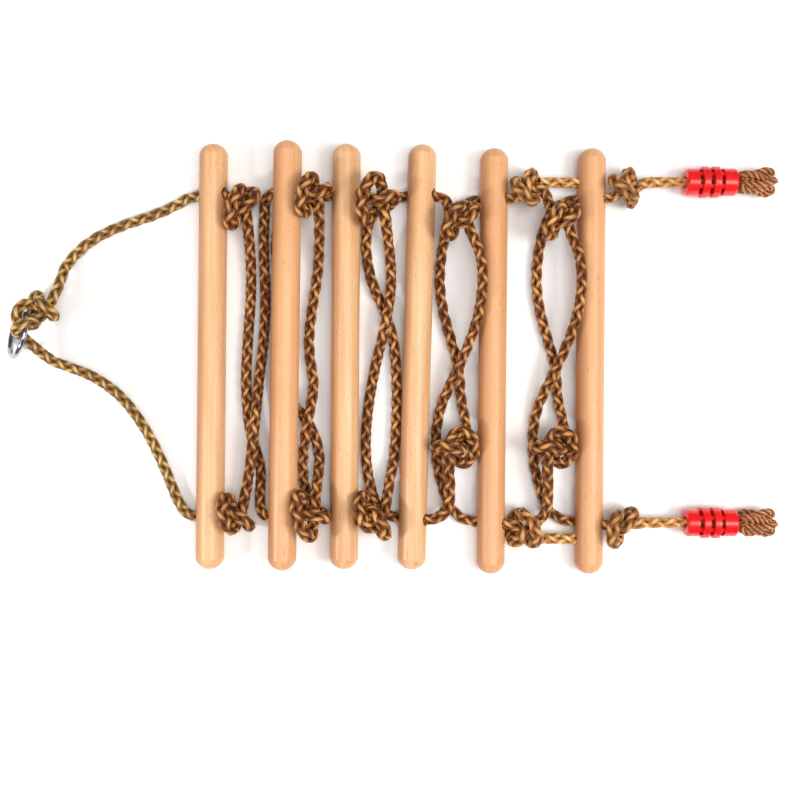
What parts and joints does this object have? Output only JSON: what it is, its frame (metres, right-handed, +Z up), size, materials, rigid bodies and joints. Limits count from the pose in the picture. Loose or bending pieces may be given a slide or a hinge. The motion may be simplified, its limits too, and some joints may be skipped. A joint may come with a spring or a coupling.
{
  "type": "rope ladder",
  "caption": "Children's rope climbing ladder laid bunched up: turned wooden rungs on knotted ropes, a steel hanging ring tied at one end, red stoppers and woven end knots at the other.",
  "frame": {"origin": "on the floor under the middle of the whole ladder", "axes": "+X from the hanging ring to the rope tails, +Y along the rungs, +Z up"},
  "size_m": [0.7696, 0.43, 0.0569],
  "materials": {
    "beech": "varnished turned beech",
    "pale_wood": "paler varnished rung",
    "golden_rope": "three strand twisted rope",
    "pale_rope": "paler twisted rope",
    "end_rope": "woven strands",
    "red_plastic": "moulded",
    "ring_steel": "bright plated steel"
  },
  "bodies": {
    "ladder": {"rung_1": "beech", "knot_1_upper": "golden_rope", "knot_1_lower": "golden_rope", "slack_1_upper": "golden_rope", "slack_1_lower": "golden_rope"},
    "bridle": {"arm_upper": "golden_rope", "arm_lower": "golden_rope", "ring_knot": "golden_rope", "ring_hitch": "golden_rope"},
    "ring": {"hanging_ring": "ring_steel"},
    "second_rung": {"rung_2": "beech", "knot_2_upper": "golden_rope", "knot_2_lower": "golden_rope", "slack_2_upper": "golden_rope", "slack_2_lower": "golden_rope"},
    "third_rung": {"rung_3": "beech", "knot_3_upper": "golden_rope", "knot_3_lower": "golden_rope", "slack_3_upper": "golden_rope", "slack_3_lower": "golden_rope"},
    "fourth_rung": {"rung_4": "pale_wood", "knot_4_upper": "golden_rope", "knot_4_lower": "golden_rope", "slack_4_upper": "golden_rope", "slack_4_lower": "golden_rope"},
    "fifth_rung": {"rung_5": "beech", "rung_6": "beech", "knot_5_upper": "pale_rope", "knot_5_lower": "pale_rope", "loop_knot_upper": "golden_rope", "loop_knot_lower": "golden_rope", "slack_5_upper": "golden_rope", "slack_5_lower": "golden_rope", "stay_upper": "pale_rope", "stay_lower": "pale_rope", "knot_6_upper": "pale_rope", "knot_6_lower": "pale_rope", "tail_upper": "pale_rope", "tail_lower": "pale_rope", "end_knot_upper": "end_rope", "end_knot_lower": "end_rope", "end_core_upper": "end_rope", "end_core_lower": "end_rope"},
    "upper_stopper": {"stopper_upper": "red_plastic"},
    "lower_stopper": {"stopper_lower": "red_plastic"}
  },
  "joints": [
    {"name": "bridle_lift", "type": "hinge", "parent": "ladder", "child": "bridle", "pos_m": [-0.17746, 0, 0.014], "axis": [0, 1, 0], "range_deg": [0, 80], "deforming": ["arm_upper", "arm_lower"]},
    {"name": "ring_turn", "type": "hinge", "parent": "bridle", "child": "ring", "pos_m": [-0.36846, 0.02351, 0.02118], "axis": [-0.7912, 0.212, 0.5736], "continuous": true},
    {"name": "second_spread", "type": "slide", "parent": "ladder", "child": "second_rung", "axis": [1, 0, 0], "range_m": [0, 0.05], "deforming": ["slack_1_upper", "slack_1_lower"]},
    {"name": "third_spread", "type": "slide", "parent": "second_rung", "child": "third_rung", "axis": [1, 0, 0], "range_m": [0, 0.05], "deforming": ["slack_2_upper", "slack_2_lower"]},
    {"name": "fourth_spread", "type": "slide", "parent": "third_rung", "child": "fourth_rung", "axis": [1, 0, 0], "range_m": [0, 0.05], "deforming": ["slack_3_upper", "slack_3_lower"]},
    {"name": "fifth_spread", "type": "slide", "parent": "fourth_rung", "child": "fifth_rung", "axis": [1, 0, 0], "range_m": [0, 0.05], "deforming": ["slack_4_upper", "slack_4_lower"]},
    {"name": "upper_stopper_slide", "type": "slide", "parent": "fifth_rung", "child": "upper_stopper", "axis": [-1, 0, 0], "range_m": [0, 0.026]},
    {"name": "lower_stopper_slide", "type": "slide", "parent": "fifth_rung", "child": "lower_stopper", "axis": [-1, 0, 0], "range_m": [0, 0.026]}
  ]
}
